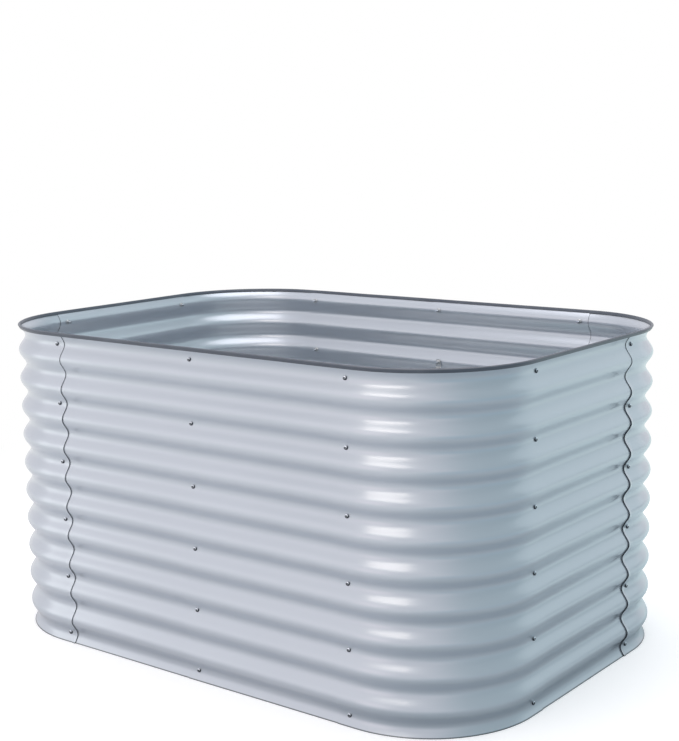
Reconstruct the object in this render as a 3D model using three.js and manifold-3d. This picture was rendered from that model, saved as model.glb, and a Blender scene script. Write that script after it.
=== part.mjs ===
// Raised garden bed: corrugated sheet panels bolted into a rounded rectangle, open at the top and
// the bottom, with a soft edging pressed over the rim and two rods that tie the long walls.
// Millimetres, +Z up. The origin lies on the ground, under the middle of the bed. The front wall
// faces -Y and the right end wall faces +X.

import * as THREE from 'three';
import { mergeVertices } from 'three/addons/utils/BufferGeometryUtils.js';
import Module from 'manifold-3d';

const wasm = await Module();
wasm.setup();

// ---- Driving sizes --------------------------------------------------------------------------

// Plan, along the middle surface of the corrugation
const seamPitch = 457.2; // from one line of bolts to the next along a wall
const longModules = 2; // side panels in the front wall and in the back wall
const shortModules = 1; // end panels in each end wall
const cornerRadius = 279.4;
const cornerLeg = 25.4; // from the end of a corner's bend to its line of bolts
const lapOverhang = 25.4; // from a line of bolts to the edge of the sheet

// Corrugation: level waves, one above the other
const wavePitch = 76.2; // from crest to crest
const waveDepth = 18; // from valley to crest, square to the wall
const waveFlat = 12.7; // height of the flat along each crest and each valley
const waveCount = 10; // whole waves from the lowest valley to the highest
const bottomMargin = 22.8; // from the bottom edge up to the lowest valley
const topMargin = 28; // from the highest valley up to the top edge
const sheetThickness = 0.8;
const bendSteps = 6; // facets round each corner

// Fits
const fitGap = 0.3; // clearance between pieces that seat on each other
const holeClearance = 0.5; // round a bolt in its hole, on the radius

// Rim edging: a U strip over the top edge of the sheets
const lipDepth = 6.2; // how far each lip reaches below the top edge
const lipThickness = 2;
const crownThickness = 3;
const edgingEndGap = 1.5; // between the butted ends of the strip

// Seam bolts, with domed heads outside, and flange nuts inside
const boltDiameter = 6;
const boltLength = 16; // under the head
const headDiameter = 10.5;
const headHeight = 3.3;
const headEdge = 1; // straight side of the head under its dome
const headTop = 5.8; // across the flat top of the dome
const socketWidth = 4; // across the flats of the hexagon socket
const socketDepth = 2;
const nutWidth = 10; // across the flats
const nutHeight = 6; // flange included
const flangeDiameter = 14;
const flangeThickness = 1.3;
const rowStep = 2; // valleys from one bolt up to the next
const roundSides = 8; // facets round a bolt, a bore or a rod
const drillLength = 60; // of a cutting drill, well past both faces of what it cuts
const hexSides = 6;

// Bracing rods: round rods with flattened ends, turned up and drilled for a seam bolt
const rodDiameter = 8;
const rodDrop = 17; // rod axis below the bolt that holds it
const footWidth = 18;
const footThickness = 3;
const footMargin = 9; // from the bolt's axis up to the top of the foot

// ---- Sizes worked out from them -------------------------------------------------------------

const cornerReach = cornerRadius + cornerLeg;
const bedLength = longModules * seamPitch + 2 * cornerReach;
const bedWidth = shortModules * seamPitch + 2 * cornerReach;
const topValley = bottomMargin + waveCount * wavePitch;
const sheetHeight = topValley + topMargin;

const flankRun = wavePitch / 2 - waveFlat; // height of the slanting flank between two flats
const flankLean = Math.atan2(waveDepth, flankRun);
const lapShift = (sheetThickness + fitGap) / Math.cos(flankLean); // outer sheet to inner sheet

const boltRows = Math.floor(waveCount / rowStep) + 1;
const rowHeight = (row) => topValley - row * rowStep * wavePitch;
const headSeat = waveDepth / 2 - fitGap; // inward from the middle surface, in a valley
const sheetBack = waveDepth / 2 + lapShift + sheetThickness; // back of the inner sheet there
const nutSeat = sheetBack + fitGap;
const nutSeatOnRod = nutSeat + footThickness + fitGap;

const rodRows = [1, boltRows - 2];
const cornerSeamRows = [0, boltRows - 1]; // rows that are fitted with bolts at a corner panel
const middleSeamRows = [0, ...rodRows]; // and between two side panels

// ---- Finishes -------------------------------------------------------------------------------

const finish = (color, roughness, metalness) => () =>
  new THREE.MeshStandardMaterial({ color, roughness, metalness });
const paintedSheet = finish(0xc3cad2, 0.35, 0.1);
const softEdging = finish(0x5a636d, 0.6, 0);
const stainlessBolt = finish(0xb4b7ba, 0.25, 1);
const zincPlate = finish(0xa9adb0, 0.4, 1);

// ---- Solids: joining and cutting ------------------------------------------------------------

function toSolid(geometry) {
  const bare = geometry.clone();
  bare.deleteAttribute('normal');
  bare.deleteAttribute('uv');
  const merged = mergeVertices(bare);
  return new wasm.Manifold(new wasm.Mesh({
    numProp: 3,
    vertProperties: merged.getAttribute('position').array,
    triVerts: Uint32Array.from(merged.getIndex().array),
  }));
}

function toGeometry(solid) {
  const { vertProperties, triVerts } = solid.getMesh();
  const geometry = new THREE.BufferGeometry();
  geometry.setAttribute('position', new THREE.BufferAttribute(vertProperties, 3));
  geometry.setIndex(new THREE.BufferAttribute(triVerts, 1));
  geometry.computeVertexNormals();
  return geometry;
}

const cut = (geometry, tools) =>
  toGeometry(tools.reduce((solid, tool) => solid.subtract(toSolid(tool)), toSolid(geometry)));

const join = (geometries) =>
  toGeometry(geometries.map(toSolid).reduce((solid, other) => solid.add(other)));

// ---- Sections and paths ---------------------------------------------------------------------

// The corrugation between two heights, moved inward square to the sheet. Each point is its
// distance outward from the wall's middle surface, and its height.
function waveLine(inward, from, to) {
  const miter = inward * Math.tan(flankLean / 2);
  const foot = waveFlat / 2 + miter; // where the flank starts, above and below a valley's middle
  const offset = (height) => {
    const wave = THREE.MathUtils.euclideanModulo(height - bottomMargin, wavePitch);
    const climb = (Math.min(wave, wavePitch - wave) - foot) / flankRun;
    return waveDepth * (THREE.MathUtils.clamp(climb, 0, 1) - 0.5) - inward;
  };
  const heights = [from, to];
  for (let wave = -1; wave <= waveCount + 1; wave += 1) {
    for (const reach of [foot, foot + flankRun]) {
      heights.push(bottomMargin + wave * wavePitch - reach, bottomMargin + wave * wavePitch + reach);
    }
  }
  return heights
    .filter((height) => height >= from && height <= to)
    .sort((a, b) => a - b)
    .map((height) => new THREE.Vector2(offset(height), height));
}

// A path round the plan, given by stations: a point, and the direction square to the wall there.
// Stations run clockwise seen from above, so that outward x up points along the path.
class PlanPath extends THREE.Curve {
  constructor(stations) {
    super();
    this.stations = stations;
  }

  getSpacedPoints() {
    return this.stations.map(({ point }) => point);
  }

  computeFrenetFrames() {
    const up = new THREE.Vector3(0, 0, 1);
    return {
      tangents: this.stations.map(({ outward }) => outward.clone().cross(up)),
      normals: this.stations.map(({ outward }) => outward),
      binormals: this.stations.map(() => up),
    };
  }
}

const station = (x, y, outwardX, outwardY) => ({
  point: new THREE.Vector3(x, y, 0),
  outward: new THREE.Vector3(outwardX, outwardY, 0),
});

// A quarter bend, clockwise from the angle given in degrees
function bend(centreX, centreY, startAngle) {
  return Array.from({ length: bendSteps + 1 }, (_, step) => {
    const angle = THREE.MathUtils.degToRad(startAngle - (90 * step) / bendSteps);
    const [cos, sin] = [Math.cos(angle), Math.sin(angle)];
    return station(centreX + cornerRadius * cos, centreY + cornerRadius * sin, cos, sin);
  });
}

// A section drawn in (outward, height), carried along a plan path
const sweep = (points, stations) => new THREE.ExtrudeGeometry(new THREE.Shape(points), {
  steps: stations.length - 1,
  extrudePath: new PlanPath(stations),
});

// ---- Panels ---------------------------------------------------------------------------------

const sheetSection = [
  ...waveLine(0, 0, sheetHeight),
  ...waveLine(sheetThickness, 0, sheetHeight).reverse(),
];

// A drill square to the front wall, through the valley of every row of bolts
const boltHoles = (x, wallY) => Array.from({ length: boltRows }, (_, row) => {
  const radius = boltDiameter / 2 + holeClearance;
  const drill = new THREE.CylinderGeometry(radius, radius, drillLength, roundSides);
  return drill.translate(x, wallY, rowHeight(row));
});

// Side and end panels share one form. Its wall's middle surface is the plane y = 0.
function flatPanelGeometry() {
  const reach = seamPitch / 2 + lapOverhang;
  const sheet = sweep(sheetSection, [station(reach, 0, 0, -1), station(-reach, 0, 0, -1)]);
  return cut(sheet, [-seamPitch / 2, seamPitch / 2].flatMap((x) => boltHoles(x, 0)));
}

// The corner panel between the front wall and the right wall, round the axis of its bend
function cornerPanelGeometry() {
  const reach = cornerLeg + lapOverhang;
  const sheet = sweep(sheetSection, [
    station(cornerRadius, reach, 1, 0),
    ...bend(0, 0, 0),
    station(-reach, -cornerRadius, 0, -1),
  ]);
  const frontHoles = boltHoles(-cornerLeg, -cornerRadius);
  const rightHoles = boltHoles(cornerLeg, -cornerRadius).map((drill) => drill.rotateZ(Math.PI / 2));
  return cut(sheet, [...frontHoles, ...rightHoles]);
}

// ---- Rim edging -----------------------------------------------------------------------------

// The slot takes one sheet, or the two sheets of a lap, whose inner one lies lapShift further in
function edgingGeometry() {
  const lipBottom = sheetHeight - lipDepth;
  const slotTop = sheetHeight + fitGap;
  const crownTop = slotTop + crownThickness;
  const outerSide = (inward, top) => waveLine(inward, lipBottom, top);
  const innerSide = (inward, top) =>
    waveLine(sheetThickness + inward, lipBottom, top).map(({ x, y }) => new THREE.Vector2(x - lapShift, y));
  const section = [
    ...outerSide(-fitGap - lipThickness, crownTop),
    ...innerSide(fitGap + lipThickness, crownTop).reverse(),
    ...innerSide(fitGap, slotTop),
    ...outerSide(-fitGap, slotTop).reverse(),
  ];
  const [bendX, bendY] = [bedLength / 2 - cornerRadius, bedWidth / 2 - cornerRadius];
  return sweep(section, [
    station(edgingEndGap / 2, bedWidth / 2, 0, 1),
    ...bend(bendX, bendY, 90),
    ...bend(bendX, -bendY, 0),
    ...bend(-bendX, -bendY, -90),
    ...bend(-bendX, bendY, -180),
    station(-edgingEndGap / 2, bedWidth / 2, 0, 1),
  ]);
}

// ---- Fasteners ------------------------------------------------------------------------------

// Both lie along Y, with their seats in the plane y = 0 and the inside of the bed towards +Y

function turned(profile, sides) {
  return new THREE.LatheGeometry(profile.map(([radius, y]) => new THREE.Vector2(radius, y)), sides);
}

function hexagonPrism(width, from, to) {
  const radius = width / 2 / Math.cos(Math.PI / hexSides);
  return new THREE.CylinderGeometry(radius, radius, to - from, hexSides).translate(0, (from + to) / 2, 0);
}

function boltGeometry() {
  const headRadius = headDiameter / 2;
  const body = turned([
    [0, -headHeight],
    [headTop / 2, -headHeight],
    [headRadius, -headEdge],
    [headRadius, 0],
    [boltDiameter / 2, 0],
    [boltDiameter / 2, boltLength],
    [0, boltLength],
  ], roundSides);
  return cut(body, [hexagonPrism(socketWidth, -drillLength, socketDepth - headHeight)]);
}

function nutGeometry() {
  const boreRadius = boltDiameter / 2 + fitGap;
  const flange = turned([
    [0, 0],
    [flangeDiameter / 2, 0],
    [flangeDiameter / 2, flangeThickness],
    [0, flangeThickness],
  ], roundSides);
  const bore = new THREE.CylinderGeometry(boreRadius, boreRadius, drillLength, roundSides);
  return cut(join([flange, hexagonPrism(nutWidth, 0, nutHeight)]), [bore]);
}

// ---- Bracing rod ----------------------------------------------------------------------------

// Along Y, with its axis through the origin, from the back of one long wall to the other
function bracingRodGeometry() {
  const reach = bedWidth / 2 - nutSeat;
  const radius = rodDiameter / 2;
  const halfFoot = footWidth / 2;
  const outline = new THREE.Shape()
    .moveTo(-halfFoot, -radius)
    .lineTo(halfFoot, -radius)
    .lineTo(halfFoot, rodDrop)
    .lineTo(halfFoot / 2, rodDrop + footMargin)
    .lineTo(-halfFoot / 2, rodDrop + footMargin)
    .lineTo(-halfFoot, rodDrop);
  const hole = new THREE.Path().absarc(0, rodDrop, boltDiameter / 2 + holeClearance, 0, 2 * Math.PI);
  outline.holes.push(hole);
  const foot = () => new THREE.ExtrudeGeometry(outline, {
    depth: footThickness,
    bevelEnabled: false,
    curveSegments: roundSides,
  }).rotateX(Math.PI / 2);
  const rod = new THREE.CylinderGeometry(radius, radius, 2 * reach - footThickness, roundSides);
  return join([rod, foot().translate(0, reach, 0), foot().translate(0, footThickness - reach, 0)]);
}

// ---- Assembly -------------------------------------------------------------------------------

const bed = new THREE.Group();

function place(parent, name, geometry, material, x = 0, y = 0, z = 0) {
  const mesh = new THREE.Mesh(geometry, material());
  mesh.name = name;
  mesh.position.set(x, y, z);
  parent.add(mesh);
  return mesh;
}

const flatPanel = flatPanelGeometry();
const cornerPanel = cornerPanelGeometry();
const bolt = boltGeometry();
const nut = nutGeometry();

// Corner panels are the outer sheets of every lap. Each is named by the two walls it joins.
const corners = [
  ['corner_panel_front_right', 1, -1],
  ['corner_panel_back_right', 1, 1],
  ['corner_panel_back_left', -1, 1],
  ['corner_panel_front_left', -1, -1],
];
corners.forEach(([name, sideX, sideY], quarter) => {
  const x = sideX * (bedLength / 2 - cornerRadius);
  const y = sideY * (bedWidth / 2 - cornerRadius);
  place(bed, name, cornerPanel, paintedSheet, x, y).rotation.z = (quarter * Math.PI) / 2;
});

// Each wall is built as the front wall is and turned to its side. Its panels and seams are counted
// from left to right as seen from outside, and its rows of bolts from the top.
const walls = [
  ['front', 'side_panel_front', longModules, bedWidth / 2],
  ['right', 'end_panel_right', shortModules, bedLength / 2],
  ['back', 'side_panel_back', longModules, bedWidth / 2],
  ['left', 'end_panel_left', shortModules, bedLength / 2],
];
walls.forEach(([side, panelName, modules, distance], quarter) => {
  const turn = new THREE.Group();
  turn.rotation.z = (quarter * Math.PI) / 2;
  bed.add(turn);
  const wall = new THREE.Group();
  wall.position.y = -distance;
  turn.add(wall);

  // The first panel lies inside both its laps. Each later one lies outside at its left lap and
  // tucks inside at its right one, turned by the little that this takes.
  for (let panel = 0; panel < modules; panel += 1) {
    const name = modules > 1 ? `${panelName}_${panel + 1}` : panelName;
    const x = (panel + 0.5 - modules / 2) * seamPitch;
    const overlaps = panel > 0;
    const sheet = place(wall, name, flatPanel, paintedSheet, x, overlaps ? lapShift / 2 : lapShift);
    sheet.rotation.z = overlaps ? Math.atan2(lapShift, seamPitch) : 0;
  }

  for (let seam = 0; seam <= modules; seam += 1) {
    const x = (seam - modules / 2) * seamPitch;
    const isMiddle = seam > 0 && seam < modules;
    for (const row of new Set(isMiddle ? middleSeamRows : cornerSeamRows)) {
      const holdsRod = isMiddle && rodRows.includes(row);
      const hole = `${side}_seam_${seam + 1}_row_${row + 1}`;
      place(wall, `bolt_${hole}`, bolt, stainlessBolt, x, headSeat, rowHeight(row));
      place(wall, `nut_${hole}`, nut, zincPlate, x, holdsRod ? nutSeatOnRod : nutSeat, rowHeight(row));
    }
  }
});

place(bed, 'rim_edging', edgingGeometry(), softEdging);

['upper', 'lower'].forEach((name, index) => {
  const height = rowHeight(rodRows[index]) - rodDrop;
  place(bed, `bracing_rod_${name}`, bracingRodGeometry(), zincPlate, 0, 0, height);
});

export default bed;
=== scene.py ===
# %% [markdown]
# # A raised garden bed of corrugated sheet
#
# The bed is a rounded rectangle of ten painted steel panels: four bent corner panels, four side
# panels and two end panels. They lap each other and are bolted through every second valley of the
# corrugation. A soft edging covers the cut rim, and two rods tie the long walls together.
#
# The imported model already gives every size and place, so the first cell loads it as a fixed frame,
# and each later cell dresses one kind of piece around it.

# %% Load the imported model
import math
import random

import bmesh
import bpy
from mathutils import Matrix, Vector, noise


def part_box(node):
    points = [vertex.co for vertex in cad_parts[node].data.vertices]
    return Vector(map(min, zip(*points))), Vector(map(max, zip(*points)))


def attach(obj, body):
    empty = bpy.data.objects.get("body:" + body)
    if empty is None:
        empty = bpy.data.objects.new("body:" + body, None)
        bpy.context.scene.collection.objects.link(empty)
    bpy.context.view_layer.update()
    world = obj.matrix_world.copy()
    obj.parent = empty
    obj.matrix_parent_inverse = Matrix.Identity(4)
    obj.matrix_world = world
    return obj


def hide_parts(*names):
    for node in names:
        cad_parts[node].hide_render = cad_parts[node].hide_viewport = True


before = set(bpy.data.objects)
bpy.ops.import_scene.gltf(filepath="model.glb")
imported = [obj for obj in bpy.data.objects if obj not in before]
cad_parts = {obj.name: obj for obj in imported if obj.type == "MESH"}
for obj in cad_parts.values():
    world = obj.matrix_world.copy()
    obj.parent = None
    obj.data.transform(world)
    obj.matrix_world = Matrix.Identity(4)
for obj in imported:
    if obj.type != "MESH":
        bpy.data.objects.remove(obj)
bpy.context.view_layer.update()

# %% [markdown]
# ## Sizes
#
# Blender works in metres. Sizes that the model fixes are read from its boxes, so they can't drift
# away from it: the height of the sheets, the place of each wall, and how far the inner sheet of a
# lap lies behind the outer one. What a box can't say, such as the pitch of the waves, is written
# here once.

# %% Sizes of the sheet metal
MM = 0.001
WAVE_PITCH = 76.2 * MM  # crest to crest
WAVE_DEPTH = 18 * MM  # valley to crest
TOP_MARGIN = 28 * MM  # highest valley to the top edge
SHEET_THICKNESS = 0.8 * MM
CORNER_RADIUS = 279.4 * MM
CORNER_LEG = 25.4 * MM  # end of a corner's bend to its bolts
LAP_OVERHANG = 25.4 * MM  # bolts to the edge of the sheet
BOLT_ROWS = 6

corner_low, corner_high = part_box("corner_panel_front_right")
END_WALL = corner_high.x - WAVE_DEPTH / 2  # bed's middle to midway between crests and valleys
LONG_WALL = -corner_low.y - WAVE_DEPTH / 2
SHEET_TOP = corner_high.z
TOP_VALLEY = SHEET_TOP - TOP_MARGIN
LAP_SHIFT = corner_high.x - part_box("end_panel_right")[1].x
SEAM_X = END_WALL - CORNER_RADIUS - CORNER_LEG  # outermost bolts of a long wall
SEAM_Y = LONG_WALL - CORNER_RADIUS - CORNER_LEG  # bolts of an end wall

print("walls at", round(END_WALL, 4), round(LONG_WALL, 4), "lap", round(LAP_SHIFT / MM, 2), "mm")

# %% [markdown]
# ## The camera
#
# The viewpoint was worked out from the thirty bolts of the two walls in view. Their spacing is
# known, so a pinhole camera could be fitted to them: where it stands, which way it points, and the
# length of its lens. `AZIMUTH` turns it round the bed, `ELEVATION` is how far it looks down, and
# `ROLL` is the slight tilt of the horizon.

# %% Camera
CAMERA_PLACE = (2.2658, -2.8800, 1.3051)
AZIMUTH, ELEVATION, ROLL = math.radians(37.742), math.radians(9.645), math.radians(-0.847)
FOCAL_PIXELS = 1412.8
PHOTO_HEIGHT = 741
SENSOR = 36  # mm, along the longer side of the picture

camera = bpy.data.objects.new("camera", bpy.data.cameras.new("camera"))
camera.data.sensor_width = SENSOR
camera.data.lens = FOCAL_PIXELS * SENSOR / PHOTO_HEIGHT
turn = Matrix.Rotation(AZIMUTH, 4, "Z") @ Matrix.Rotation(math.pi / 2 - ELEVATION, 4, "X")
camera.matrix_world = Matrix.Translation(CAMERA_PLACE) @ turn @ Matrix.Rotation(ROLL, 4, "Z")
bpy.context.scene.collection.objects.link(camera)
bpy.context.scene.camera = camera
bpy.context.scene.view_settings.view_transform = "Standard"
print("lens:", round(camera.data.lens, 2), "mm")

# %% [markdown]
# ## A short way to write shaders
#
# A finish is a tree of small nodes. Wiring each node by hand hides the idea behind the plumbing, so
# `Value` wraps the output of a node and lets Python's own arithmetic add the Math nodes. Anything
# that isn't arithmetic goes through `Shading.node`: its type, its settings, then its sockets.

# %% Shader helpers
class Value:
    """The output of a shader node. Arithmetic on it adds Math nodes to the same tree."""

    def __init__(self, shading, socket):
        self.shading = shading
        self.socket = socket

    def math(self, operation, first, second):
        return self.shading.node("ShaderNodeMath", {"operation": operation}, {0: first, 1: second})

    def __add__(self, other):
        return self.math("ADD", self, other)

    __radd__ = __add__

    def __sub__(self, other):
        return self.math("SUBTRACT", self, other)

    def __rsub__(self, other):
        return self.math("SUBTRACT", other, self)

    def __mul__(self, other):
        return self.math("MULTIPLY", self, other)

    __rmul__ = __mul__


class Shading:
    """The node tree of a material or of the world, in the making."""

    def __init__(self, owner):
        owner.use_nodes = True
        self.owner = owner
        self.tree = owner.node_tree
        self.tree.nodes.clear()

    def wire(self, socket, value):
        if isinstance(value, Value):
            self.tree.links.new(value.socket, socket)
        else:
            socket.default_value = value

    def node(self, kind, settings=None, sockets=None, output=0):
        node = self.tree.nodes.new(kind)
        for name, value in (settings or {}).items():
            setattr(node, name, value)
        for name, value in (sockets or {}).items():
            self.wire(node.inputs[name], value)
        return Value(self, node.outputs[output])

    def noise(self, where, scale, detail=2.0):
        """Soft random blotches, from 0 to 1, about `scale` of them to a metre."""
        sockets = {"Vector": where, "Scale": scale, "Detail": detail}
        return self.node("ShaderNodeTexNoise", None, sockets)

    def ramp(self, value, low, high, low_result=0.0, high_result=1.0):
        """Carries a range of values smoothly onto another, and holds its ends."""
        sockets = {"Value": value, "From Min": low, "From Max": high}
        sockets |= {"To Min": low_result, "To Max": high_result}
        return self.node("ShaderNodeMapRange", {"interpolation_type": "SMOOTHSTEP"}, sockets)

    def towards(self, way, aim, low, high):
        """Rises from 0 to 1 as a direction turns towards another one, between two cosines."""
        sockets = {0: way, 1: aim}
        facing = self.node("ShaderNodeVectorMath", {"operation": "DOT_PRODUCT"}, sockets, "Value")
        return self.ramp(facing, low, high)

    def blend(self, factor, first, second):
        """Mixes two colours, which are inputs 6 and 7 of the node, and output 2."""
        sockets = {0: factor, 6: first, 7: second}
        return self.node("ShaderNodeMix", {"data_type": "RGBA"}, sockets, 2)

    def bump(self, height, distance, below=None):
        """Turns a height from 0 to 1 into relief `distance` metres deep."""
        sockets = {"Height": height, "Distance": distance}
        if below is not None:
            sockets["Normal"] = below
        return self.node("ShaderNodeBump", None, sockets)

    def surface(self, shader):
        """Makes a shader the surface of the material, or of the world, and returns that."""
        kind = "World" if isinstance(self.owner, bpy.types.World) else "Material"
        output = self.tree.nodes.new(f"ShaderNodeOutput{kind}")
        self.wire(output.inputs["Surface"], shader)
        return self.owner


def new_finish(name):
    return Shading(bpy.data.materials.new(name))


# %% [markdown]
# ## The paint
#
# The panels carry a baked coat in a pale silver blue. It is a satin metallic paint with a clear
# gloss on top: soft light spreads along the crests, and a bright lamp still shows as a sharp patch.
# Metallic stays well under 1, so that the paint keeps some colour of its own where it reflects
# nothing bright. Three scales of detail keep it from looking like plastic. The colour and the gloss
# drift a little over a panel, the rolls that formed the sheet leave faint streaks along it, and the
# coat has a fine orange peel. The streaks follow the sheet round the corners, so the panels have a
# UV map in metres: along the wall, and up.
#
# The paint ends in a dark line just above the floor. It is partly the thin coat where the sheet was
# sheared, and partly a painted contact shadow where the wall meets the floor. A ramp on the height
# draws it, so it is equally narrow on every panel.

# %% Paint finish
PANEL_MAP = "along_and_up"
STREAK_SCALE = (1.2, 55.0, 1.0)  # to a metre, along the wall and up
SHEARED_AND_SHADOW_BAND = (1.2 * MM, 3.0 * MM)  # above the floor: thin coat, and painted contact shadow
SILVER_BLUE = (0.500, 0.545, 0.600, 1.0)
PALE_SILVER_BLUE = (0.545, 0.590, 0.645, 1.0)
STREAK_BLUE = (0.470, 0.520, 0.580, 1.0)
# thin coat at the sheared foot, darkened further as painted contact shadow
THIN_COAT_AND_CONTACT_SHADOW = (0.03, 0.04, 0.045, 1.0)


def painted_sheet():
    paint = new_finish("painted_sheet")
    place = paint.node("ShaderNodeTexCoord", output="Object")
    along = paint.node("ShaderNodeUVMap", {"uv_map": PANEL_MAP})
    rolled = paint.node("ShaderNodeMapping", None, {"Vector": along, "Scale": STREAK_SCALE})
    streaks = paint.noise(rolled, 1.0, 2.0)
    drift = paint.noise(place, 3.0, 3.0)
    peel = paint.noise(place, 700.0, 1.0)
    colour = paint.blend(drift, SILVER_BLUE, PALE_SILVER_BLUE)
    colour = paint.blend(streaks * 0.25, colour, STREAK_BLUE)
    # a dark band at the foot: thin coat there, and painted contact shadow where the sheet meets the
    # floor
    height = paint.node("ShaderNodeSeparateXYZ", None, {0: place}, "Z")
    sheared_and_shadowed = paint.ramp(height, *SHEARED_AND_SHADOW_BAND, 0.85, 0.0)
    colour = paint.blend(sheared_and_shadowed, colour, THIN_COAT_AND_CONTACT_SHADOW)
    relief = paint.bump(peel, 0.012 * MM)
    relief = paint.bump(streaks, 0.03 * MM, relief)
    return paint.surface(paint.node("ShaderNodeBsdfPrincipled", None, {
        "Base Color": colour,
        "Roughness": 0.27 + drift * 0.08,
        "Metallic": 0.6,
        "Coat Weight": 0.5,
        "Coat Roughness": 0.06,
        "Normal": relief,
    }))


# cut edges: dark steel, darkened further as painted shade of the gaps at the laps
DARK_STEEL_AND_GAP_SHADE = (0.025, 0.035, 0.04, 1.0)
DULL_STEEL_AND_GAP_SHADE = (0.06, 0.07, 0.08, 1.0)


def cut_edge_and_gap_shade():
    """The bare edge of a cut panel: dull steel, darkened as painted shade of the gaps at the laps.
    """
    edge = new_finish("cut_edge_and_gap_shade")
    place = edge.node("ShaderNodeTexCoord", output="Object")
    grain = edge.noise(place, 400.0, 3.0)
    return edge.surface(edge.node("ShaderNodeBsdfPrincipled", None, {
        "Base Color": edge.blend(grain, DARK_STEEL_AND_GAP_SHADE, DULL_STEEL_AND_GAP_SHADE),
        "Roughness": edge.ramp(grain, 0.2, 0.8, 0.5, 0.7),
        "Normal": edge.bump(grain, 0.05 * MM),
    }))


PAINT = painted_sheet()
CUT_EDGE_AND_GAP_SHADE = cut_edge_and_gap_shade()
print("finishes:", PAINT.name, CUT_EDGE_AND_GAP_SHADE.name)

# %% [markdown]
# ## The finishes of the edging and the fasteners
#
# The edging is a soft moulded strip: dark slate with a low sheen, a little dusty and rubbed. The
# bolts are stainless and bright, so their domes pick up the lamps. The nuts and the rods are zinc
# plated, which is duller, with a faint mottle.
#
# The bolts get painted shade: dark in the socket, and on the lower side and round the rim of each
# head, where a lit dome lies in shade. A procedural pattern couldn't know where that is on each of
# sixty bolts, so the mesh says it: each vertex carries a value for it, and the finish reads it. The
# nuts and rods carry none.

# %% Edging and metal finishes
# painted shade for the bolts: dark in their sockets and on the lower side of their heads
PAINTED_SHADE = "painted_shade"
PAINTED_SHADE_COLOUR = (0.02, 0.025, 0.035, 1.0)
SLATE = (0.068, 0.083, 0.108, 1.0)
DUSTY_SLATE = (0.13, 0.155, 0.18, 1.0)


def soft_edging():
    edging = new_finish("soft_edging")
    place = edging.node("ShaderNodeTexCoord", output="Object")
    cloud = edging.noise(place, 12.0, 4.0)
    grain = edging.noise(place, 900.0, 2.0)
    dust = edging.ramp(cloud, 0.45, 0.75, 0.0, 0.35)
    return edging.surface(edging.node("ShaderNodeBsdfPrincipled", None, {
        "Base Color": edging.blend(dust, SLATE, DUSTY_SLATE),
        "Roughness": edging.ramp(cloud, 0.3, 0.8, 0.30, 0.42),
        "Normal": edging.bump(grain, 0.04 * MM),
    }))


def bare_metal(name, dark, light, roughness, mottle_scale):
    metal = new_finish(name)
    place = metal.node("ShaderNodeTexCoord", output="Object")
    mottle = metal.noise(place, mottle_scale, 3.0)
    # painted shade that the bolts carry on their vertices makes them darker, duller and less
    # metallic
    painted_shade = metal.node("ShaderNodeAttribute", {"attribute_name": PAINTED_SHADE}, output="Fac")
    unshaded = metal.blend(mottle, (*dark, 1.0), (*light, 1.0))
    return metal.surface(metal.node("ShaderNodeBsdfPrincipled", None, {
        "Base Color": metal.blend(painted_shade, unshaded, PAINTED_SHADE_COLOUR),
        "Roughness": metal.ramp(mottle, 0.3, 0.7, roughness, roughness + 0.12) + painted_shade * 0.3,
        "Metallic": 1 - painted_shade * 0.7,
        "Normal": metal.bump(mottle, 0.02 * MM),
    }))


EDGING = soft_edging()
STAINLESS = bare_metal("stainless", (0.66, 0.71, 0.78), (0.80, 0.86, 0.92), 0.12, 900.0)
ZINC = bare_metal("zinc_plate", (0.42, 0.44, 0.45), (0.58, 0.60, 0.61), 0.28, 260.0)
print("finishes:", EDGING.name, STAINLESS.name, ZINC.name)

# %% [markdown]
# ## Shaping by pulling
#
# A corrugated sheet is one wavy line carried along the wall. The line starts as a few vertices, and
# each `pull` extrudes it one step, as sheet comes out of the rolls. A bend is the same thing done
# by a spin. Extruding hands a vertex's number on to the next one, so any later line can still be
# reshaped point by point.

# %% Modelling helpers
NUMBER = "number"  # the place of a vertex in the line that it was drawn with


def draw(bm, points, closed=False):
    """Adds a line of numbered vertices through the points and returns its edges."""
    number = bm.verts.layers.int.get(NUMBER) or bm.verts.layers.int.new(NUMBER)
    verts = [bm.verts.new(point) for point in points]
    for count, vert in enumerate(verts):
        vert[number] = count
    ends = verts[1:] + verts[:1] if closed else verts[1:]
    return [bm.edges.new(pair) for pair in zip(verts, ends)]


def pull(bm, edges, step):
    """Extrudes edges by one step and returns the new ones."""
    made = bmesh.ops.extrude_edge_only(bm, edges=edges)["geom"]
    bmesh.ops.translate(bm, verts=[v for v in made if isinstance(v, bmesh.types.BMVert)], vec=step)
    return [e for e in made if isinstance(e, bmesh.types.BMEdge)]


def swing(bm, edges, centre, axis, angle, steps):
    """Spins edges round an axis and returns the last ones."""
    verts = {v for e in edges for v in e.verts}
    geom = [*verts, *edges]
    made = bmesh.ops.spin(bm, geom=geom, cent=centre, axis=axis, angle=angle, steps=steps)
    return [e for e in made["geom_last"] if isinstance(e, bmesh.types.BMEdge)]


def reshape(bm, edges, points):
    """Moves the numbered vertices of a line to new points."""
    number = bm.verts.layers.int[NUMBER]
    for vert in {v for e in edges for v in e.verts}:
        vert.co = points[vert[number]]


def make_piece(bm, name, materials, stands_for, sharp_angle=40):
    """Turns a bmesh into a finished piece that takes the place of CAD nodes."""
    mesh = bpy.data.meshes.new(name)
    bm.verts.layers.int.remove(bm.verts.layers.int[NUMBER])
    bm.to_mesh(mesh)
    bm.free()
    mesh.shade_smooth()
    mesh.set_sharp_from_angle(angle=math.radians(sharp_angle))
    for material in materials:
        mesh.materials.append(material)
    piece = bpy.data.objects.new(name, mesh)
    bpy.context.scene.collection.objects.link(piece)
    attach(piece, "root")
    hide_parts(*stands_for)
    return piece


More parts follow.
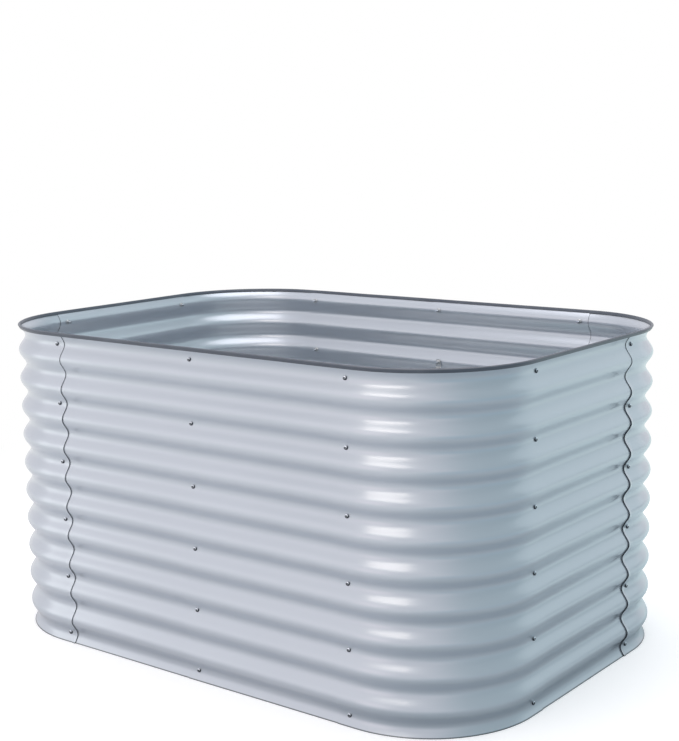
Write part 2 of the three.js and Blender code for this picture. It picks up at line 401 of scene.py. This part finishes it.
# %% [markdown]
# ## One line of corrugation
#
# Seen end on, the outer face of the sheet is a sine wave. A real sheet is never quite true, so
# `ripple` moves the whole wall in and out by a fraction of a millimetre. It depends only on the
# place, so both sheets of a lap and the bolts through them move together and stay seated.

# %% The wave and its unevenness
WAVE_STEPS = 16  # rows of faces to a wave
RIPPLE_DEPTH = 0.4 * MM
RIPPLE_SPACING = 0.22  # metres from one soft dent to the next


def wave(height):
    """How far the outer face stands out from the middle of its waves at a height."""
    return -WAVE_DEPTH / 2 * math.cos(2 * math.pi * (height - TOP_VALLEY) / WAVE_PITCH)


def ripple(place):
    return RIPPLE_DEPTH * noise.noise(place / RIPPLE_SPACING)


rows = math.ceil(SHEET_TOP / WAVE_PITCH * WAVE_STEPS)
HEIGHTS = [SHEET_TOP * row / rows for row in range(rows + 1)]
print("rows of faces:", rows, "each", round(SHEET_TOP / rows / MM, 2), "mm high")

# %% [markdown]
# ## Panels
#
# The outer sheet of a lap doesn't always lie shut. At two of the four corners its last centimetre
# springs away from the sheet behind it, at one of them by half as much as at the other, and that
# narrow dark gap is what draws the wavy line of the seam. The spring fades out towards the rim,
# where the edging pinches the sheets together.
#
# The wall gets its thickness last, with the outer face kept where it is, and the narrow faces all
# round it get the finish of a sheared edge: dull steel, made darker as painted shade of the gaps at
# the laps.

# %% Panel helpers
EDGE_STEPS = [2 * MM, 2 * MM, 3 * MM, 4 * MM, 5 * MM, 9.4 * MM]  # fine columns near an edge
SPRING = 2.0 * MM
SPRING_LENGTH = 12 * MM
SPRING_FADE = (40 * MM, 220 * MM)  # below the rim
SHEARED_SIDE = 1.5 * SHEET_THICKNESS  # only faces of the sheared edge have a side under this
SHEARED_SLOT = 1  # of the cut edge, after the paint


def smoothstep(low, high, value):
    share = min(max((value - low) / (high - low), 0.0), 1.0)
    return share * share * (3 - 2 * share)


def spring(share, from_edge, height):
    """How far an outer sheet stands away, at a distance from its free edge and a height."""
    near = 1 - smoothstep(0, SPRING_LENGTH, from_edge)
    return share * SPRING * near * smoothstep(*SPRING_FADE, SHEET_TOP - height)


def finish_sheet(bm, name, place, outward, along):
    """Ripples, maps, thickens and places a panel drawn in its own frame."""
    for vert in bm.verts:
        vert.co += outward(vert.co) * ripple(place @ vert.co)
    panel_map = bm.loops.layers.uv.new(PANEL_MAP)
    for face in bm.faces:
        for loop in face.loops:
            loop[panel_map].uv = (along(loop.vert.co), loop.vert.co.z)
    bm.normal_update()
    bmesh.ops.solidify(bm, geom=bm.faces[:], thickness=SHEET_THICKNESS)
    for vert in bm.verts:
        vert.co.z = min(max(vert.co.z, 0), SHEET_TOP)  # sheared level
    for face in bm.faces:
        if min(edge.calc_length() for edge in face.edges) < SHEARED_SIDE:
            face.material_index = SHEARED_SLOT
    bmesh.ops.transform(bm, matrix=place, verts=bm.verts[:])
    return make_piece(bm, f"{name}_sheet", [PAINT, CUT_EDGE_AND_GAP_SHADE], [name])


# %% [markdown]
# ## Flat panels
#
# Side panels and end panels are one and the same part. In its own frame a panel stands along X
# with its outside towards -Y, and a matrix takes it to its wall. In a long wall the second panel
# overlaps the first, so it starts in the outer layer and ends in the inner one, turned by the
# hair's breadth that this takes. Each panel also has a stretch of the paint's streaks to itself,
# so no two look alike.

# %% Side panels and end panels
PANEL_PITCH = SEAM_X  # one line of bolts to the next
PANEL_REACH = PANEL_PITCH / 2 + LAP_OVERHANG
MIDDLE_COLUMNS = 10
END_STREAKS = 5  # metres along the streaks to the first end panel, past the side panels


def wall_matrix(quarter, distance):
    """The frame of a wall: the middle of its waves at y = 0, its outside towards -Y."""
    return Matrix.Rotation(quarter * math.pi / 2, 4, "Z") @ Matrix.Translation((0, -distance, 0))


def flat_panel(name, wall, x, overlaps, streak_start):
    bm = bmesh.new()
    edges = draw(bm, [(-PANEL_REACH, -wave(height), height) for height in HEIGHTS])
    middle = 2 * (PANEL_REACH - sum(EDGE_STEPS)) / MIDDLE_COLUMNS
    for step in [*EDGE_STEPS, *[middle] * MIDDLE_COLUMNS, *reversed(EDGE_STEPS)]:
        edges = pull(bm, edges, (step, 0, 0))
    depth = LAP_SHIFT / 2 if overlaps else LAP_SHIFT
    turn = math.atan2(LAP_SHIFT, PANEL_PITCH) if overlaps else 0
    place = wall @ Matrix.Translation((x, depth, 0)) @ Matrix.Rotation(turn, 4, "Z")
    return finish_sheet(
        bm, name, place, lambda co: Vector((0, -1, 0)), lambda co: co.x + streak_start
    )


WALLS = {
    "front": wall_matrix(0, LONG_WALL),
    "right": wall_matrix(1, END_WALL),
    "back": wall_matrix(2, LONG_WALL),
    "left": wall_matrix(3, END_WALL),
}
for count, side in enumerate(("front", "back")):
    flat_panel(f"side_panel_{side}_1", WALLS[side], -PANEL_PITCH / 2, False, 2 * count)
    flat_panel(f"side_panel_{side}_2", WALLS[side], PANEL_PITCH / 2, True, 2 * count + 1)
for count, side in enumerate(("right", "left")):
    flat_panel(f"end_panel_{side}", WALLS[side], 0, False, END_STREAKS + count)
print("flat panels:", round(2 * PANEL_REACH, 3), "m long each")

# %% [markdown]
# ## Corner panels
#
# A corner panel is pulled along its first leg, spun a quarter turn round the axis of the bend, and
# pulled along its second leg. It is the outer sheet of both its laps.

# %% Corner panels
CORNER_REACH = CORNER_LEG + LAP_OVERHANG
BEND_STEPS = 28
UPRIGHT = (0, 0, 1)
CORNER_STREAKS = 7  # metres along the streaks to the first corner panel, past the end panels


def corner_outward(co):
    """The way out of the bed at a point of a corner panel, on its legs and round its bend."""
    if co.x < 0:
        return Vector((0, -1, 0))
    if co.y > 0:
        return Vector((1, 0, 0))
    return Vector((co.x, co.y, 0)).normalized()


def corner_along(co):
    """How far along the sheet a point lies, measured from the start of the bend."""
    if co.x < 0:
        return co.x
    if co.y > 0:
        return CORNER_RADIUS * math.pi / 2 + co.y
    return CORNER_RADIUS * math.atan2(co.x, -co.y)


def corner_panel(name, quarter, side_x, side_y, sprung):
    bm = bmesh.new()
    leg = [*EDGE_STEPS, CORNER_REACH - sum(EDGE_STEPS)]
    line = [(-CORNER_REACH, -CORNER_RADIUS - wave(height), height) for height in HEIGHTS]
    edges = draw(bm, line)
    for step in leg:
        edges = pull(bm, edges, (step, 0, 0))
    edges = swing(bm, edges, (0, 0, 0), UPRIGHT, math.pi / 2, BEND_STEPS)
    for step in reversed(leg):
        edges = pull(bm, edges, (0, step, 0))
    if sprung:
        for vert in bm.verts:
            from_edge = CORNER_REACH - max(-vert.co.x, vert.co.y)
            vert.co += corner_outward(vert.co) * spring(sprung, from_edge, vert.co.z)
    centre = (side_x * (END_WALL - CORNER_RADIUS), side_y * (LONG_WALL - CORNER_RADIUS), 0)
    place = Matrix.Translation(centre) @ Matrix.Rotation(quarter * math.pi / 2, 4, "Z")
    return finish_sheet(
        bm, name, place, corner_outward, lambda co: corner_along(co) + CORNER_STREAKS + quarter
    )


CORNERS = [  # by quarter turns: its side of the bed in X and in Y, and its share of the spring
    ("front_right", 1, -1, 0),
    ("back_right", 1, 1, 1),
    ("back_left", -1, 1, 0),
    ("front_left", -1, -1, 0.5),
]
for quarter, (corner, side_x, side_y, sprung) in enumerate(CORNERS):
    bent = corner_panel(f"corner_panel_{corner}", quarter, side_x, side_y, sprung)
print("corner panels:", len(CORNERS), "each", len(bent.data.polygons), "faces")

# %% [markdown]
# ## Rim edging
#
# The edging is a U strip pressed over the leaning top edge of the sheets. Its section is drawn as a
# plain U with square corners, carried round the whole rim by pulls and swings, and rounded
# afterwards by a bevel on the long edges, which is quicker to change than a section drawn with
# arcs. The strip was pushed on by hand, so it rises and dips a little along the way, and its two
# ends meet at the middle of the back wall.

# %% Section of the edging
EDGING_GAP = 0.25 * MM  # between a lip and the sheet
LIP = 1.9 * MM
LIP_DEPTH = 7 * MM
CROWN = 2.0 * MM
EDGING_END_GAP = 1.5 * MM

rim_out = wave(SHEET_TOP)
rim_lean = math.atan((rim_out - wave(SHEET_TOP - MM)) / MM)
slot_out = EDGING_GAP
slot_in = -(SHEET_THICKNESS + LAP_SHIFT * math.cos(rim_lean) + EDGING_GAP)
SECTION = [  # square to the sheet, and along it upwards from its top edge
    (slot_out + LIP, -LIP_DEPTH),
    (slot_out + LIP, CROWN),
    (slot_in - LIP, CROWN),
    (slot_in - LIP, -LIP_DEPTH),
    (slot_in, -LIP_DEPTH),
    (slot_in, EDGING_GAP),
    (slot_out, EDGING_GAP),
    (slot_out, -LIP_DEPTH),
]
ROUNDED = [({1, 2}, 1.9 * MM, 4), ({0, 3, 4, 7}, 0.6 * MM, 2)]  # corners, radius, steps


def on_rim(across, up):
    """A point of the section, as its distance out from the middle of the waves and its height."""
    outward = rim_out + across * math.cos(rim_lean) + up * math.sin(rim_lean)
    return outward, SHEET_TOP - across * math.sin(rim_lean) + up * math.cos(rim_lean)


print("rim leans out by", round(math.degrees(rim_lean), 1), "degrees")

# %% Carry the section round the rim
EDGING_STEP = 22 * MM
EDGING_SWAY = 0.25 * MM
SWAYS_TO_A_METRE = 9


def pull_evenly(bm, edges, x, y):
    steps = math.ceil(math.hypot(x, y) / EDGING_STEP)
    for _ in range(steps):
        edges = pull(bm, edges, (x / steps, y / steps, 0))
    return edges


def round_long_edges(bm, corners, radius, segments):
    """Bevels the edges that run along the strip from the given corners of its section."""
    number = bm.verts.layers.int[NUMBER]
    chosen = []
    for edge in bm.edges:
        first, last = (vert[number] for vert in edge.verts)
        if first == last and first in corners:
            chosen.append(edge)
    bmesh.ops.bevel(
        bm, geom=chosen, offset=radius, affect="EDGES", segments=segments, profile=0.5, material=-1
    )


def rim_edging():
    bm = bmesh.new()
    section = [on_rim(*point) for point in SECTION]
    end_face = [(EDGING_END_GAP / 2, LONG_WALL + out, up) for out, up in section]
    start = draw(bm, end_face, closed=True)
    bend_x, bend_y = END_WALL - CORNER_RADIUS, LONG_WALL - CORNER_RADIUS
    half_back = bend_x - EDGING_END_GAP / 2
    clockwise = -math.pi / 2
    edges = pull_evenly(bm, start, half_back, 0)
    edges = swing(bm, edges, (bend_x, bend_y, 0), UPRIGHT, clockwise, BEND_STEPS)
    edges = pull_evenly(bm, edges, 0, -2 * bend_y)
    edges = swing(bm, edges, (bend_x, -bend_y, 0), UPRIGHT, clockwise, BEND_STEPS)
    edges = pull_evenly(bm, edges, -2 * bend_x, 0)
    edges = swing(bm, edges, (-bend_x, -bend_y, 0), UPRIGHT, clockwise, BEND_STEPS)
    edges = pull_evenly(bm, edges, 0, 2 * bend_y)
    edges = swing(bm, edges, (-bend_x, bend_y, 0), UPRIGHT, clockwise, BEND_STEPS)
    edges = pull_evenly(bm, edges, half_back, 0)
    bmesh.ops.edgeloop_fill(bm, edges=start)
    bmesh.ops.edgeloop_fill(bm, edges=edges)
    for corners, radius, segments in ROUNDED:
        round_long_edges(bm, corners, radius, segments)
    for vert in bm.verts:
        vert.co.z += EDGING_SWAY * noise.noise(vert.co * SWAYS_TO_A_METRE)
    bmesh.ops.recalc_face_normals(bm, faces=bm.faces[:])
    return make_piece(bm, "rim_edging_strip", [EDGING], ["rim_edging"])


edging = rim_edging()
print("edging:", len(edging.data.polygons), "faces")

# %% [markdown]
# ## Stacks of rings
#
# Bolts, nuts and rods are all stacks of rings. Each ring has twenty-four points, so a round one can
# be joined to a hexagonal one, which gives the small curved faces that a real nut has where its
# flange meets its flats. A ring is extruded from the one before it and then reshaped.

# %% Rings
RING_POINTS = 24
RING_ANGLES = [math.tau * count / RING_POINTS for count in range(RING_POINTS)]


def round_ring(diameter, y):
    return [(diameter / 2 * math.cos(a), y, diameter / 2 * math.sin(a)) for a in RING_ANGLES]


def hexagon_ring(flats, y):
    ring = []
    for angle in RING_ANGLES:
        radius = flats / 2 / math.cos((angle % (math.pi / 3)) - math.pi / 6)
        ring.append((radius * math.cos(angle), y, radius * math.sin(angle)))
    return ring


def stack_rings(bm, rings):
    """Joins rings into a tube and returns its first and its last line of edges."""
    first = edges = draw(bm, rings[0], closed=True)
    for ring in rings[1:]:
        edges = pull(bm, edges, (0, 0, 0))
        reshape(bm, edges, ring)
    return first, edges


# %% [markdown]
# ## Bolts and nuts
#
# A bolt has a domed head with a hexagon socket, and its thread shows inside the bed, past the nut.
# The nut has a flange, so it needs no washer. Both lie along Y with their seat at y = 0 and the
# inside of the bed towards +Y.

# %% Shape of a bolt and a nut
BOLT_DIAMETER = 6 * MM
BOLT_LENGTH = 16 * MM
HEAD_DIAMETER = 10.5 * MM
HEAD_HEIGHT = 3.3 * MM
HEAD_EDGE = 0.8 * MM
SOCKET_WIDTH = 4 * MM
SOCKET_DEPTH = 2 * MM
SOCKET_RIM = 5.4 * MM
DOME_STEPS = 6
THREAD_PITCH = 1 * MM
THREAD_DEPTH = 0.6 * MM
THREAD_START = 8 * MM  # past a nut that sits on the sheet
NUT_WIDTH = 10 * MM  # across the flats
NUT_HEIGHT = 6 * MM
NUT_TOP = NUT_WIDTH * 0.96  # across the round face at its top
NUT_CHAMFER = 0.6 * MM
FLANGE_DIAMETER = 14 * MM
FLANGE_CHAMFER = 0.2 * MM
FLANGE_RIM = (0.3 * MM, 1 * MM)  # the heights between which its rim is upright
FLANGE_CONE = 2.2 * MM  # where it has narrowed to the flats
BORE = BOLT_DIAMETER + 0.1 * MM  # clear of the thread
BORE_CHAMFER = 0.4 * MM


def bolt_mesh():
    rings = [
        hexagon_ring(SOCKET_WIDTH, SOCKET_DEPTH - HEAD_HEIGHT),
        hexagon_ring(SOCKET_WIDTH, -HEAD_HEIGHT),
    ]
    for step in range(DOME_STEPS + 1):
        angle = math.pi / 2 * step / DOME_STEPS
        size = SOCKET_RIM + (HEAD_DIAMETER - SOCKET_RIM) * math.sin(angle)
        rings.append(round_ring(size, -HEAD_EDGE - (HEAD_HEIGHT - HEAD_EDGE) * math.cos(angle)))
    rings += [round_ring(HEAD_DIAMETER, 0), round_ring(BOLT_DIAMETER, 0)]
    for turn in range(round((BOLT_LENGTH - THREAD_START) / THREAD_PITCH)):
        y = THREAD_START + turn * THREAD_PITCH
        rings.append(round_ring(BOLT_DIAMETER, y))
        rings.append(round_ring(BOLT_DIAMETER - 2 * THREAD_DEPTH, y + THREAD_PITCH / 2))
    rings.append(round_ring(BOLT_DIAMETER - THREAD_DEPTH, BOLT_LENGTH))
    bm = bmesh.new()
    for end in stack_rings(bm, rings):
        bmesh.ops.edgeloop_fill(bm, edges=end)
    return fastener_mesh(bm, "bolt")


def nut_mesh():
    bm = bmesh.new()
    first, last = stack_rings(bm, [
        round_ring(BORE, 0),
        round_ring(FLANGE_DIAMETER - 2 * FLANGE_CHAMFER, 0),
        round_ring(FLANGE_DIAMETER, FLANGE_RIM[0]),
        round_ring(FLANGE_DIAMETER, FLANGE_RIM[1]),
        hexagon_ring(NUT_WIDTH, FLANGE_CONE),
        hexagon_ring(NUT_WIDTH, NUT_HEIGHT - NUT_CHAMFER),
        round_ring(NUT_TOP, NUT_HEIGHT),
        round_ring(BORE + 2 * BORE_CHAMFER, NUT_HEIGHT),
        round_ring(BORE, NUT_HEIGHT - BORE_CHAMFER),
    ])
    bmesh.ops.bridge_loops(bm, edges=[*first, *last])
    return fastener_mesh(bm, "nut")


def fastener_mesh(bm, name):
    bmesh.ops.recalc_face_normals(bm, faces=bm.faces[:])
    mesh = bpy.data.meshes.new(name)
    bm.to_mesh(mesh)
    bm.free()
    return mesh


BOLT, NUT = bolt_mesh(), nut_mesh()
print("faces: bolt", len(BOLT.polygons), "nut", len(NUT.polygons))

# %% [markdown]
# ## Seams
#
# There are ten seams, with six bolts in each. One piece holds the bolts of a seam and another its
# nuts. Nobody lines up the sockets, so each fastener is turned by its own angle, and only then gets
# its painted shade, which lies below the middle of the head however the bolt is turned. Where a rod
# meets the wall, the nut sits on the foot of the rod instead of on the sheet.

# %% Bolts and nuts of every seam
ROD_ROWS = (1, 4)  # counted from the top, from 0
HEAD_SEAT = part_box("bolt_front_seam_1_row_1")[0].y + HEAD_HEIGHT + LONG_WALL
NUT_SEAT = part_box("nut_front_seam_1_row_1")[0].y + LONG_WALL
ROD_NUT_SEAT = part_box("nut_front_seam_2_row_2")[0].y + LONG_WALL
SEAMS = {
    "front": [-SEAM_X, 0, SEAM_X],
    "right": [-SEAM_Y, SEAM_Y],
    "back": [-SEAM_X, 0, SEAM_X],
    "left": [-SEAM_Y, SEAM_Y],
}
PAINTED_SHADE_RADII = (2.6 * MM, 4.4 * MM)  # from a head's middle to where the painted shade starts, and where it is full
PAINTED_SHADE_SAG = 0.38  # how much of its height shifts a point towards the unshaded middle
# painted shade deep in the socket
SOCKET_PAINTED_SHADE = 0.85
TWIST_SEED = 7
dice = random.Random(TWIST_SEED)


def row_height(row):
    return TOP_VALLEY - row * 2 * WAVE_PITCH


def painted_shade_at(co):
    """Painted shade on a bolt, 0 to 1: in its socket, and mostly on the lower side of its head."""
    radius = math.hypot(co.x, co.z)
    if radius < SOCKET_RIM / 2 and co.y > -HEAD_HEIGHT:
        return SOCKET_PAINTED_SHADE
    return smoothstep(*PAINTED_SHADE_RADII, radius - PAINTED_SHADE_SAG * co.z)


def add_copy(bm, mesh, place):
    """Adds a fastener to a bmesh, turned about its own axis by chance."""
    first = len(bm.verts)
    bm.from_mesh(mesh)
    bm.verts.ensure_lookup_table()
    twist = Matrix.Rotation(dice.uniform(0, math.tau), 4, "Y")
    bmesh.ops.transform(bm, matrix=twist, verts=bm.verts[first:])
    # painted shade, on the bolts only
    if mesh == BOLT:
        painted_shade = bm.verts.layers.float[PAINTED_SHADE]
        for vert in bm.verts[first:]:
            vert[painted_shade] = painted_shade_at(vert.co)
    bmesh.ops.transform(bm, matrix=place, verts=bm.verts[first:])


def fasten_seam(side, seam, x):
    bolts, nuts = bmesh.new(), bmesh.new()
    bolts.verts.layers.float.new(PAINTED_SHADE)
    for row in range(BOLT_ROWS):
        height = row_height(row)
        lift = ripple(WALLS[side] @ Vector((x, 0, height)))
        nut_seat = ROD_NUT_SEAT if x == 0 and row in ROD_ROWS else NUT_SEAT
        add_copy(bolts, BOLT, WALLS[side] @ Matrix.Translation((x, HEAD_SEAT - lift, height)))
        add_copy(nuts, NUT, WALLS[side] @ Matrix.Translation((x, nut_seat - lift, height)))
    for bm, kind, slot, finish in (
        (bolts, "bolt", "stainless_bolt", STAINLESS),
        (nuts, "nut", "zinc_plate", ZINC),
    ):
        place = f"{side}_seam_{seam}"
        stands_for = [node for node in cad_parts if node.startswith(f"{kind}_{place}_row_")]
        make_piece(bm, f"{kind}s_{place}", [finish], stands_for, sharp_angle=30)


for side, places in SEAMS.items():
    for seam, x in enumerate(places, start=1):
        fasten_seam(side, seam, x)
print("bolts:", BOLT_ROWS * sum(len(places) for places in SEAMS.values()))

# %% [markdown]
# ## Bracing rods
#
# A full bed pushes its long walls apart, and two rods hold them. Each is a round bar whose ends are
# hammered flat and turned up against the wall, where a seam bolt holds them. Half a rod is a stack
# of rings that go from round to flat, a spin for the bend, and a few more rings for the foot,
# rounded off at the top. A mirror makes the other half.

# %% Bracing rods
ROD_DIAMETER = 8 * MM
FOOT_WIDTH = 17.6 * MM
FOOT_THICKNESS = 3 * MM
FOOT_BEND = 3 * MM  # radius inside the bend
FOOT_BEND_STEPS = 6
FOOT_SQUARENESS = 0.65  # 0 would leave the section of the foot an oval, and 1 make it a rectangle
FLAT_RUN = 34 * MM  # length that goes from round to flat
FLAT_STEPS = 8
FOOT_TOP = [  # how far below the tip, and the share of the foot's width there
    (9 * MM, 1.0),
    (4 * MM, 0.94),
    (1.5 * MM, 0.78),
    (0, 0.5),
]


def rod_ring(flatness, y, share=1.0):
    """A ring of the rod across Y: round when flatness is 0, and hammered flat when it is 1."""
    half_width = share * (ROD_DIAMETER + flatness * (FOOT_WIDTH - ROD_DIAMETER)) / 2
    half_height = (ROD_DIAMETER + flatness * (FOOT_THICKNESS - ROD_DIAMETER)) / 2
    power = 1 - FOOT_SQUARENESS * flatness
    ring = []
    for angle in RING_ANGLES:
        across = math.copysign(abs(math.cos(angle)) ** power, math.cos(angle))
        up = math.copysign(abs(math.sin(angle)) ** power, math.sin(angle))
        ring.append((half_width * across, y, half_height * up))
    return ring


def bracing_rod(name):
    low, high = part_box(name)
    axis_height = low.z + ROD_DIAMETER / 2
    bend_y = high.y - FOOT_THICKNESS - FOOT_BEND
    bend_z = FOOT_THICKNESS / 2 + FOOT_BEND
    rings = [rod_ring(0, 0)]
    for step in range(FLAT_STEPS + 1):
        share = step / FLAT_STEPS
        rings.append(rod_ring(smoothstep(0, 1, share), bend_y - FLAT_RUN * (1 - share)))
    bm = bmesh.new()
    first, last = stack_rings(bm, rings)
    last = swing(bm, last, (0, bend_y, bend_z), (1, 0, 0), math.pi / 2, FOOT_BEND_STEPS)
    for below_tip, share in FOOT_TOP:
        last = pull(bm, last, (0, 0, 0))
        turned_up = [
            (x, high.y - FOOT_THICKNESS / 2 - z, high.z - axis_height - below_tip)
            for x, _, z in rod_ring(1, 0, share)
        ]
        reshape(bm, last, turned_up)
    bmesh.ops.edgeloop_fill(bm, edges=last)
    everything = [*bm.verts, *bm.edges, *bm.faces]
    bmesh.ops.mirror(bm, geom=everything, matrix=Matrix(), merge_dist=0.01 * MM, axis="Y")
    bmesh.ops.recalc_face_normals(bm, faces=bm.faces[:])
    bmesh.ops.translate(bm, verts=bm.verts[:], vec=(0, 0, axis_height))
    return make_piece(bm, f"{name}_bar", [ZINC], [name], sharp_angle=60)


for name in ("bracing_rod_upper", "bracing_rod_lower"):
    rod = bracing_rod(name)
    print(name, "faces:", len(rod.data.polygons))

# %% [markdown]
# ## Floor and background
#
# The bed stands on a plain pale floor in a white room. What the camera sees of the floor is lifted
# a little towards white, so only the shadow under the bed stays visible, and with distance it turns
# into the background. Reflections see the same white, and metallic paint lives by what it reflects.
#
# The room isn't equally bright all round, though. The end wall and the corner next to it are
# cooler and darker than the long wall, and no lamp can make a reflection darker. So one side of
# the room is grey and cool, as a studio is where a flag or an unlit wall stands. The floor on that
# side gets painted shade, and the floor beside it painted cool light, which only bounces and
# reflections see. The camera itself sees neither. `towards` measures how far a direction turns
# to that side, both for the world and for the floor.

# %% Floor and world
FLOOR_SIZE = 40
FLOOR_FADE = (1.2, 2.6)  # distances at which the floor starts to turn white, and is white
FLOOR_GLOW = 0.35  # lifts what the camera sees of it
DIM_SIDE = (0.85, 0.35, 0.39)  # towards the grey side of the room
TOWARDS_PAINTED_FLOOR_SHADE = (0.985, -0.174, 0)  # towards the floor's painted shade
TOWARDS_PAINTED_COOL_LIGHT = (0.5, 0.866, 0)  # towards the floor's painted cool light beside it
WHITE, BLACK = (1.0, 1.0, 1.0, 1.0), (0.0, 0.0, 0.0, 1.0)
FLOOR_PALE, FLOOR_PALER = (0.78, 0.785, 0.79, 1.0), (0.82, 0.825, 0.83, 1.0)
# the floor in painted shade and in painted cool light, which only bounces and reflections see
FLOOR_PAINTED_COOL_LIGHT, FLOOR_PAINTED_SHADE = (0.72, 0.85, 0.85, 1.0), (0.52, 0.57, 0.59, 1.0)
FAR_FLOOR_PAINTED_COOL_LIGHT, FAR_FLOOR_PAINTED_SHADE = (0.88, 1.0, 1.0, 1.0), (0.46, 0.62, 0.70, 1.0)
ROOM_WHITE, ROOM_GREY = (0.915, 0.90, 0.935, 1.0), (0.485, 0.595, 0.635, 1.0)
floor_bm = bmesh.new()
bmesh.ops.create_grid(floor_bm, x_segments=1, y_segments=1, size=FLOOR_SIZE / 2)
floor_mesh = bpy.data.meshes.new("floor")
floor_bm.to_mesh(floor_mesh)
floor_bm.free()
floor = bpy.data.objects.new("floor", floor_mesh)
bpy.context.scene.collection.objects.link(floor)


def floor_finish():
    ground = new_finish("pale_floor")
    place = ground.node("ShaderNodeTexCoord", output="Object")
    seen = ground.node("ShaderNodeLightPath", output="Is Camera Ray")
    mirrored = ground.node("ShaderNodeLightPath", output="Is Glossy Ray")
    distance = ground.node("ShaderNodeVectorMath", {"operation": "LENGTH"}, {0: place}, "Value")
    way = ground.node("ShaderNodeVectorMath", {"operation": "NORMALIZE"}, {0: place})
    # painted shade and painted cool light on the floor, for everything but the camera
    dim = ground.towards(way, TOWARDS_PAINTED_FLOOR_SHADE, 0.6, 0.92) * (1 - seen)
    painted_cool_light = ground.towards(way, TOWARDS_PAINTED_COOL_LIGHT, 0.3, 0.8) * (1 - seen)
    grain = ground.noise(place, 60.0, 3.0)
    pale = ground.blend(grain, FLOOR_PALE, FLOOR_PALER)
    pale = ground.blend(painted_cool_light, pale, FLOOR_PAINTED_COOL_LIGHT)
    far = ground.blend(painted_cool_light, WHITE, FAR_FLOOR_PAINTED_COOL_LIGHT)
    lit = ground.node("ShaderNodeBsdfPrincipled", None, {
        "Base Color": ground.blend(dim, pale, FLOOR_PAINTED_SHADE),
        "Roughness": 0.8,
        "Specular IOR Level": 0.2,
        "Emission Color": ground.blend(seen, BLACK, WHITE),
        "Emission Strength": FLOOR_GLOW,
    })
    white = ground.node("ShaderNodeEmission", None, {
        "Color": ground.blend(dim, far, FAR_FLOOR_PAINTED_SHADE),
        "Strength": 1.0,
    })
    fade = ground.ramp(distance, *FLOOR_FADE) * (seen + mirrored)
    return ground.surface(ground.node("ShaderNodeMixShader", None, {0: fade, 1: lit, 2: white}))


def white_world():
    world = bpy.data.worlds.new("studio")
    bpy.context.scene.world = world
    sky = Shading(world)
    seen = sky.node("ShaderNodeLightPath", output="Is Camera Ray")
    way = sky.node("ShaderNodeTexCoord", output="Generated")
    dim = sky.towards(way, DIM_SIDE, 0.40, 0.85)
    walls = sky.blend(dim, ROOM_WHITE, ROOM_GREY)
    room = sky.node("ShaderNodeBackground", None, {"Color": walls, "Strength": 1.0})
    white = sky.node("ShaderNodeBackground", None, {"Color": WHITE, "Strength": 1.0})
    return sky.surface(sky.node("ShaderNodeMixShader", None, {0: seen, 1: room, 2: white}))


floor_mesh.materials.append(floor_finish())
white_world()
print("floor:", FLOOR_SIZE, "m square")

# %% [markdown]
# ## Lamps
#
# The reflections tell where the lamps stood. Every crest of the near corner carries a bright patch
# that starts where the bend starts, so a narrow key lamp hangs close in front of the long wall. The
# top of each wave is lighter than its underside, so a wide soft lamp hangs overhead. The long wall
# is evenly lit and a little warm, from two wide lamps in front. A cool one stands off the far end
# of the right wall, so near that the wall is lighter at its top than at its foot, and a small low
# one beside the left corner draws the pale patches on its lowest crests. All of them are weak,
# because the white room gives most of the light.

# %% Softboxes
AIM = Vector((0.3, -0.2, 0.45))  # every lamp points here


def softbox(name, place, width, height, power, colour):
    light = bpy.data.lights.new(name, "AREA")
    light.shape = "RECTANGLE"
    light.size = width
    light.size_y = height
    light.energy = power
    light.color = colour
    lamp = bpy.data.objects.new(name, light)
    lamp.location = place
    lamp.rotation_euler = (AIM - Vector(place)).to_track_quat("-Z", "Y").to_euler()
    bpy.context.scene.collection.objects.link(lamp)


softbox("key", (0.22, -2.25, 2.4), 1.65, 0.7, 7.5, (1.0, 0.88, 0.77))
softbox("overhead", (0.2, 0.0, 3.4), 3.0, 2.2, 40, (1.0, 0.95, 0.96))
softbox("front_left", (-3.0, -2.8, 1.9), 3.0, 2.6, 6, (1.0, 0.89, 0.87))
softbox("front", (-0.6, -4.4, 1.4), 2.4, 2.2, 8, (1.0, 0.78, 0.76))
softbox("back_right", (2.0, 2.3, 1.8), 2.2, 2.4, 5.5, (0.94, 1.0, 0.98))
softbox("low_left", (-1.95, -1.5, 0.62), 0.7, 1.0, 1.3, (0.98, 1.0, 0.93))
print("lamps:", [lamp.name for lamp in bpy.data.lights])
